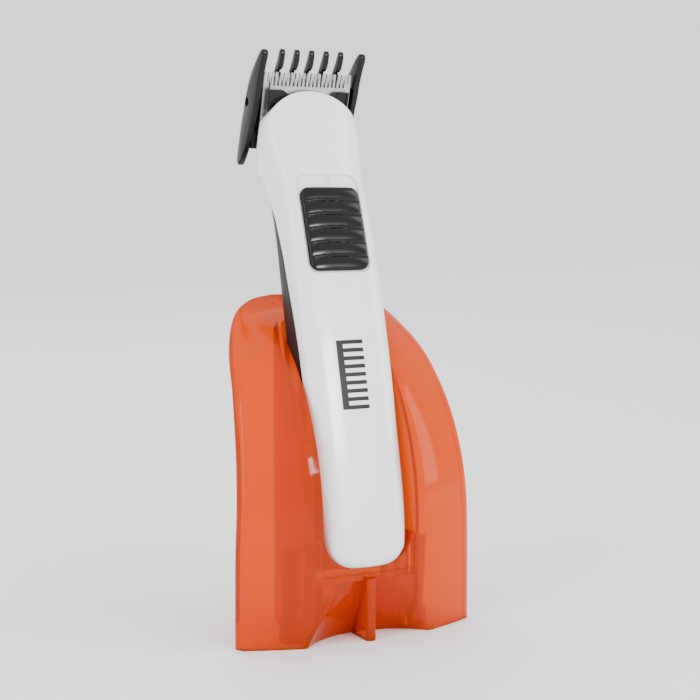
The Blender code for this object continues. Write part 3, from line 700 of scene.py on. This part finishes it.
# %% Front housing
HEAD_SPACES = (((-13.9, -2.2, -22.3), (13.9, 3, 8)), ((-15.4, -1.6, -16.8), (15.4, 4, 9)),
               ((-13.5, -4.8, -22.1), (13.5, 5, -12.3)), ((-25, -GAP, -21.3), (25, 14, 30)),
               ((-15.3, -3.0, -11.8), (-9.9, 4, 5)), ((9.9, -3.0, -11.8), (15.3, 4, 5)))
COVER_SPACE = ((15.3, -13.3), (15.3, -5.3), (9.5, -5.3), (7.1, -6.9), (3.7, -8.3))
front = body_skin("front_housing", 0.0, finish=WHITE_GLOSS)
cut(front, hollow("front_hollow"), rear_region(-GAP))
above_dome = box((-25, -20, DOME_CENTRE), (25, 40, 190), CLIPPER)
cut(above_dome, rod(DOME_RADIUS, (0, -22, DOME_CENTRE), 64, CLIPPER, axis="Y", sides=200))
cut(front, above_dome)
cut(front, *(box(low, high, BLADE) for low, high in HEAD_SPACES))
both_sides = list(COVER_SPACE) + [(-x, z) for x, z in reversed(COVER_SPACE)]
cut(front, prism(both_sides, -2.6, 4, "XZ", BLADE))
print("front housing:", len(front.data.polygons), "faces")

# %% [markdown]
# ## Switch field
# The switch runs in a shallow field with round corners. The cutter is a rounded block whose
# inner side is the body itself moved in, so the field's floor keeps the same curve as the
# skin around it.

# %% Switch field
FIELD_MARGIN, FIELD_DEPTH = 0.7, 0.8
field = prism(rounded_rectangle(-SWITCH_HALF - FIELD_MARGIN, SWITCH_HALF + FIELD_MARGIN,
                                SWITCH_LOW - FIELD_MARGIN, SWITCH_HIGH + SWITCH_TRAVEL + 0.6, 3.6, 10),
              -14, -1, "XZ", CLIPPER)
cut(field, body_skin("field_floor", -FIELD_DEPTH, steps=4, points=80))
stem_slot = box((-3.2, -9, 101), (3.2, 0, 115), CLIPPER)
cut(front, field, stem_slot)
finish_piece(front, "clipper", "white_gloss", "front_shell")

# %% [markdown]
# ## Rear housing
# The black rear half is what the fingers hold. It is the same body, kept only behind the
# joint line, with four sunk screw holes, the upper pair in sight above the stand.

# %% Rear housing
SCREWS = ((-8.6, 101.0, 8.0), (8.6, 101.0, 8.0), (-8.5, 11.6, 4.7), (8.5, 11.6, 4.7))
rear = body_skin("rear_housing", 0.0, finish=BLACK_SATIN)
combine(rear, "INTERSECT", rear_region(0))
cut(rear, hollow("rear_hollow"))
BOSS_START, UPPER_BOSS_END, LOWER_BOSS_END = 3.6, 12.0, 5.4
for x, z, seat in SCREWS:
    boss_end = UPPER_BOSS_END if z > 50 else LOWER_BOSS_END
    join(rear, rod(2.6, (x, BOSS_START, z), boss_end - BOSS_START, CLIPPER, axis="Y", sides=40))
    cut(rear, rod(1.2, (x, 2, z), 12, CLIPPER, axis="Y", sides=32),
        rod(2.2, (x, seat - GAP, z), 12, CLIPPER, axis="Y", sides=40))
socket_hole = rod(3.3, (0, 1.8, -8), 18, CLIPPER, sides=48)
cut(rear, socket_hole)
finish_piece(rear, "clipper", "black_satin", "rear_shell")

# %% [markdown]
# ## The slider's height
# The slider is a curved plate with five raised, slightly arched ribs. A grid works best here:
# each point gets its width from the round corners and its height from the ribs and the
# rolled edge, all measured from the body's own surface.

# %% Slider height
RIB_COUNT, PLATE_HEIGHT, RIB_HEIGHT, RIB_HALF, CORNER, EDGE_ROLL = 5, 1.0, 0.65, 0.5, 3.2, 0.8
BAND_RISE, RIB_BOW, UNDERSIDE = 0.3, 0.9, 0.42


def slider_half(z):
    """Half width of the slider at a height, less inside the round corners."""
    over = max(0.0, abs(z - (SWITCH_LOW + SWITCH_HIGH) / 2) - (SWITCH_HIGH - SWITCH_LOW) / 2 + CORNER)
    return SWITCH_HALF - CORNER + math.sqrt(max(0.0, CORNER ** 2 - over ** 2))


def slider_height(x, z):
    """Height over the body: a plate with rolled edges and raised ribs."""
    inset = min(slider_half(z) - abs(x), z - SWITCH_LOW, SWITCH_HIGH - z)
    roll = min(1.0, max(0.0, inset) / EDGE_ROLL)
    edge = math.sqrt(1 - (1 - roll) ** 2)
    pitch = (SWITCH_HIGH - SWITCH_LOW) / (RIB_COUNT + 1)
    bowed = z - RIB_BOW * (1 - (x / SWITCH_HALF) ** 2) + 0.5
    nearest = SWITCH_LOW + pitch * min(RIB_COUNT, max(1, round((bowed - SWITCH_LOW) / pitch)))
    rib = max(0.0, 1 - (abs(bowed - nearest) / RIB_HALF) ** 2) ** 0.5
    band = abs(math.sin(math.pi * (bowed - SWITCH_LOW) / pitch))
    return (PLATE_HEIGHT - BAND_RISE + BAND_RISE * band + RIB_HEIGHT * rib) * edge - 0.15 * (1 - edge)


print("the slider stands", round(slider_height(0, SWITCH_LOW + 2.4), 2), "mm above the body between ribs")

# %% [markdown]
# ## Switch slider
# The grid is set on the height rule, with more points near its sides, where the edge rolls
# over. Its faces are then pulled inwards once, to an underside that follows the body too, so
# the slider clears the field's floor along its whole travel.

# %% Switch slider
bm = bmesh.new()
bmesh.ops.create_grid(bm, x_segments=44, y_segments=170, size=1)
for vert in bm.verts:
    z = SWITCH_LOW + (vert.co.y + 1) / 2 * (SWITCH_HIGH - SWITCH_LOW)
    x = math.sin(vert.co.x * math.pi / 2) * slider_half(z)
    vert.co = (x, front_of(x, z) - slider_height(x, z), z)
underside = bmesh.ops.extrude_face_region(bm, geom=bm.faces[:])["geom"]
for item in underside:
    if isinstance(item, bmesh.types.BMVert):
        item.co.y = front_of(item.co.x, item.co.z) + UNDERSIDE
slider = place(bm, "switch_slider", CLIPPER, BLACK_GLOSS, 50)
finish_piece(slider, "switch", "black_gloss", "switch_button")

# %% [markdown]
# ## Marks that follow the front
# Marks on a moulding lie on its curve. Each is a flat outline pulled to a hair's thickness,
# cut into short edges, and moved onto the body's front point by point, because a flat sheet
# would float over it. An image could be laid on instead, but then the mark has no shape.

# %% Marks
def conform(outline, lift, thick, name, finish, holes=()):
    """A thin printed or engraved shape that follows the body's front."""
    mark = prism(outline, -thick, 0, "XZ", Matrix())
    for hole in holes:
        cut(mark, prism(hole, -thick - 1, 1, "XZ", Matrix()))
    bm = bmesh.new()
    bm.from_mesh(mark.data)
    bpy.data.objects.remove(mark, do_unlink=True)
    bmesh.ops.triangulate(bm, faces=bm.faces[:])
    for _ in range(2):
        long_edges = [edge for edge in bm.edges if edge.calc_length() > 0.8]
        bmesh.ops.subdivide_edges(bm, edges=long_edges, cuts=1)
        bmesh.ops.triangulate(bm, faces=bm.faces[:])
    for vert in bm.verts:
        vert.co.y += front_of(vert.co.x, vert.co.z) + lift
    return place(bm, name, CLIPPER, finish)


print("marks are placed on the body's own surface rule")

# %% [markdown]
# ## The off mark
# The window above the switch carries an engraved zero for off. It is an oval with a smaller
# oval taken out, a little below the skin, where the field's floor is.

# %% Off mark
def oval(centre, width, height, steps=40):
    """Points round an upright oval."""
    return [(centre[0] + width * math.cos(2 * math.pi * i / steps),
             centre[1] + height * math.sin(2 * math.pi * i / steps)) for i in range(steps)]


OFF_PLACE, MARK_THICK = (0, 127.4), 0.05
zero = conform(oval(OFF_PLACE, 0.85, 1.25), FIELD_DEPTH - 0.01, MARK_THICK, "off_mark", ENGRAVED_GREY,
               [oval(OFF_PLACE, 0.6, 1.0)])
finish_piece(zero, "clipper", "white_gloss")

# %% [markdown]
# ## The comb print
# The grip carries a small plain print, a made-up comb sign: a bar with teeth. Its outline is
# walked once round, down the bar's back and up along the teeth.

# %% Comb print
def comb_sign(low, high, left, right, spine, teeth):
    """A bar with teeth to its right, drawn once round."""
    pitch = (high - low) / (teeth * 2 - 1)
    points = [(left, high), (left, low)]
    for number in range(teeth):
        z = low + 2 * pitch * number
        points += [(right, z), (right, z + pitch), (left + spine, z + pitch)]
        if number < teeth - 1:
            points.append((left + spine, z + 2 * pitch))
    return points[:-1]


sign_outline = comb_sign(low=49.5, high=72.5, left=-5.2, right=4.6, spine=2.4, teeth=9)
sign = conform(sign_outline, 0.01, MARK_THICK, "comb_print", PRINT_BLACK)
finish_piece(sign, "clipper", "black_gloss")

# %% [markdown]
# ## Blades
# A clipper cuts between two toothed plates. The fixed one lies outside with long teeth, and
# the moving one slides across its front. Both are stamped from sheet, so each is an outline
# with tapered teeth, pulled to the sheet's thickness.

# %% Blades
BLADE_HALF, TOOTH_COUNT, TOOTH_LENGTH, BLADE_LENGTH, BLADE_THICK = 16.4, 23, 3.2, 21.0, 1.0
SCREW_SPACING, SCREW_HEIGHT = 11, -19


def toothed_outline(half, teeth, root, tip, low):
    """A plate with tapered teeth along its upper edge, walked once round."""
    pitch = 2 * half / (teeth - 0.45)
    points = [(-half, low), (half, low)]
    for number in range(teeth):
        right = half - pitch * number
        middle = right - 0.275 * pitch
        points += [(right, root), (right - 0.06 * pitch, tip - 0.5), (middle + 0.13 * pitch, tip),
                   (middle - 0.13 * pitch, tip), (right - 0.49 * pitch, tip - 0.5),
                   (right - 0.55 * pitch, root)]
    return points


fixed = prism(toothed_outline(BLADE_HALF, TOOTH_COUNT, -TOOTH_LENGTH, 0.0, -BLADE_LENGTH),
              0.0, BLADE_THICK, "XZ", BLADE, "fixed_cutter")
fixed.data.materials.append(GROUND_STEEL)
for side in (-1, 1):
    cut(fixed, rod(1.3, (side * SCREW_SPACING, -2, SCREW_HEIGHT), 5, BLADE, axis="Y", sides=40))
finish_piece(fixed, "clipper", "blade_steel", "fixed_blade")
moving = prism(toothed_outline(14.2, 20, -4.4, -1.7, -16.2), -1.2, -0.3, "XZ", BLADE, "moving_cutter")
moving.data.materials.append(GROUND_STEEL)
finish_piece(moving, "cutter", "blade_steel", "moving_blade")

# %% [markdown]
# ## Guide comb
# The comb slides along the head. Its teeth rise behind the blade and arch forward over it, and
# two arms hold it at the sides. Teeth and arms are side views pulled to their thickness with
# rounded edges, then joined, because the comb is one moulding.

# %% Comb outlines
def smooth_outline(points, steps=5):
    """A closed outline rounded through its points."""
    ring = list(points[-1:]) + list(points) + list(points[:2])
    return [along(ring, 1 + i / steps) for i in range(len(points) * steps)]


COMB_TEETH, COMB_PITCH, TOOTH_HALF, COMB_INNER, COMB_OUTER = 5, 5.5, 0.8, 17.2, 19.4
COMB_TOOTH = ((2.0, -9), (2.0, -4), (1.4, -0.8), (1.3, 0.3), (0.2, 0.9), (-0.9, 2.2), (-1.4, 4.2),
              (-1.5, 6.2), (-1.1, 7.5), (-0.3, 7.95), (0.4, 7.4), (0.9, 5.6), (1.7, 3.2), (3.0, 0.0),
              (4.2, -4.0), (4.2, -9))
COMB_ARM = ((-1.6, -2.5), (-1.3, -6.6), (-0.6, -11), (0.2, -15.5), (1.6, -20.5), (3.2, -25.5),
            (5.0, -29.5), (6.8, -32.8), (8.2, -34.2), (9.6, -33.2), (10.0, -31), (9.6, -25), (9.0, -19),
            (8.2, -14), (7.4, -9), (6.4, -5), (4.8, -1), (3.0, 2), (1.0, 5), (-0.6, 7), (-2.0, 7.9),
            (-3.2, 7.3), (-3.4, 5.5), (-2.6, 2.5))
print("the tooth's side view has", len(smooth_outline(COMB_TOOTH, 4)), "points")

# %% [markdown]
# ## The comb's parts joined
# A plate with a window links the arms behind the blade. The teeth are set on it at an even
# pitch, the arms close it at both sides, and a shallow round dent marks each arm's grip.

# %% Guide comb
comb = box((-COMB_INNER - 0.5, 2.4, -27), (COMB_INNER + 0.5, 4.2, -5), BLADE, "comb")
cut(comb, prism(rounded_rectangle(-11, 11, -22.5, -10.5, 3), 0, 8, "XZ", BLADE))
for number in range(COMB_TEETH):
    x = COMB_PITCH * (number - (COMB_TEETH - 1) / 2)
    tooth = prism(smooth_outline(COMB_TOOTH, 4), x - TOOTH_HALF, x + TOOTH_HALF, "YZ", BLADE, rounding=0.25)
    join(comb, tooth)
for side in (-1, 1):
    low, high = sorted((side * COMB_INNER, side * COMB_OUTER))
    join(comb, prism(smooth_outline(COMB_ARM, 5), low, high, "YZ", BLADE, rounding=0.5))
    start = min(side * (COMB_OUTER - 0.7), side * (COMB_OUTER + 2))
    cut(comb, rod(1.5, (start, 5.9, -11.5), 2.7, BLADE, axis="X", sides=40))
comb.data.materials.clear()
comb.data.materials.append(BLACK_GLOSS)
finish_piece(comb, "comb", "black_gloss", "guide_comb")

# %% [markdown]
# ## Blade screws
# Two countersunk screws hold the fixed blade. They show through the comb's window from
# behind, so each gets a tapered head and a crossed recess.

# %% Screws
for side, label in ((-1, "left"), (1, "right")):
    across = side * SCREW_SPACING
    screw = rod(0.9, (across, -4.6, SCREW_HEIGHT), 6.0, BLADE, axis="Y", sides=32,
                name="cutter_screw_" + label)
    join(screw, rod(1.8, (across, 1.15, SCREW_HEIGHT), 0.7, BLADE, axis="Y", top_radius=1.5, sides=48))
    for width, height in ((0.3, 1.0), (1.0, 0.3)):
        cut(screw, box((across - width, 1.5, SCREW_HEIGHT - height),
                       (across + width, 3, SCREW_HEIGHT + height), BLADE))
    screw.data.materials.clear()
    screw.data.materials.append(SCREW_STEEL)
    finish_piece(screw, "clipper", "screw_steel", "blade_screw_" + label)

# %% [markdown]
# ## The works inside
# The cell, motor, cam and board keep the frame's own solids: their shapes are right, and they
# only need the finish of what they are made of.

# %% Finish the kept solids
KEPT = {
    "head_frame": BLACK_GLOSS, "motor_end_cap": BLACK_SATIN, "motor_mount": BLACK_SATIN,
    "charge_socket": BLACK_SATIN, "blade_spring": GROUND_STEEL, "motor_can": MOTOR_STEEL,
    "motor_shaft": MOTOR_STEEL, "motor_armature": COPPER, "field_magnet": MAGNET,
    "eccentric_cam": CAM_WHITE, "cutter_carrier": CAM_WHITE, "battery_cell": CELL_WRAP,
    "battery_contact_upper": BRASS, "battery_contact_lower": BRASS, "switch_contact": BRASS,
    "circuit_board": BOARD_GREEN, "housing_screw_1": SCREW_STEEL, "housing_screw_2": SCREW_STEEL,
    "housing_screw_3": SCREW_STEEL, "housing_screw_4": SCREW_STEEL,
}
for node, finish in KEPT.items():
    mesh = frame["nodes"][node].data
    mesh.materials.clear()
    mesh.materials.append(finish)
print(len(KEPT), "kept solids have their finish")

# %% [markdown]
# ## Floor
# A pale floor gives the clear plastic something to glow against. It is flat under the stand
# and bends up far away, like a studio's paper sweep, so no horizon shows. A plane and a wall
# would also do, but they leave a line where they meet.

# %% Floor
SWEEP_START, SWEEP_END, SWEEP_BEND, SWEEP_RINGS = 700, 3500, 4200, 28
bm = bmesh.new()
bmesh.ops.create_circle(bm, cap_ends=True, segments=96, radius=SWEEP_START)
rim = list(bm.edges)
for step in range(1, SWEEP_RINGS + 1):
    radius = SWEEP_START + (SWEEP_END - SWEEP_START) * step / SWEEP_RINGS
    ring = bmesh.ops.extrude_edge_only(bm, edges=rim)["geom"]
    rim = [item for item in ring if isinstance(item, bmesh.types.BMEdge) and item.is_boundary]
    for vert in {vert for edge in rim for vert in edge.verts}:
        vert.co = vert.co.xy.normalized().to_3d() * radius
        vert.co.z = (radius - SWEEP_START) ** 2 / SWEEP_BEND
bmesh.ops.recalc_face_normals(bm, faces=bm.faces)
floor = place(bm, "floor", STAND)
floor_finish, floor_tree, floor_shader = new_finish("floor_finish", (0.9, 0.9, 0.9), 0.6)
floor_tree.links.new(spread(floor_tree, noise(floor_tree, 8), 0.5, 0.7), floor_shader.inputs["Roughness"])
tint(floor_tree, floor_shader, noise(floor_tree, 4), (0.885, 0.885, 0.89), (0.905, 0.905, 0.905))
floor.data.materials.append(floor_finish)
print("floor:", len(floor.data.polygons), "faces")

# %% [markdown]
# ## Light
# A bright, even sky does most of the work. Two tall soft lights draw the long highlights down
# the white body, a small one in front picks out the ribs of the switch, and one behind makes
# the stand's rim glow. Spots would be quicker, but their hard shadows hide the clear plastic.

# %% Lights
SKY_STRENGTH = 1.6
world = bpy.data.worlds.new("studio")
bpy.context.scene.world = world
world.use_nodes = True
background = world.node_tree.nodes["Background"]
background.inputs["Color"].default_value = (1, 1, 1, 1)
background.inputs["Strength"].default_value = SKY_STRENGTH


def soft_light(name, place_at, aim, size, power):
    """A rectangular light at a place in metres, turned to its aim."""
    data = bpy.data.lights.new(name, "AREA")
    data.shape = "RECTANGLE"
    data.size, data.size_y = size
    data.energy = power
    light = bpy.data.objects.new(name, data)
    light.location = place_at
    light.rotation_euler = (Vector(aim) - Vector(place_at)).to_track_quat("-Z", "Y").to_euler()
    bpy.context.scene.collection.objects.link(light)


middle = (0, 0, 0.1)
soft_light("left_softbox", (-0.8, -0.3, 0.4), middle, (0.25, 0.8), 4)
soft_light("right_softbox", (0.75, -0.5, 0.45), middle, (0.3, 0.8), 3.5)
soft_light("window_light", (0.24, -0.72, 0.32), (0, 0, 0.13), (0.16, 0.12), 2.4)
soft_light("back_softbox", (0.1, 0.8, 0.6), middle, (0.9, 0.6), 3)
print("lights:", [light.name for light in bpy.data.lights])
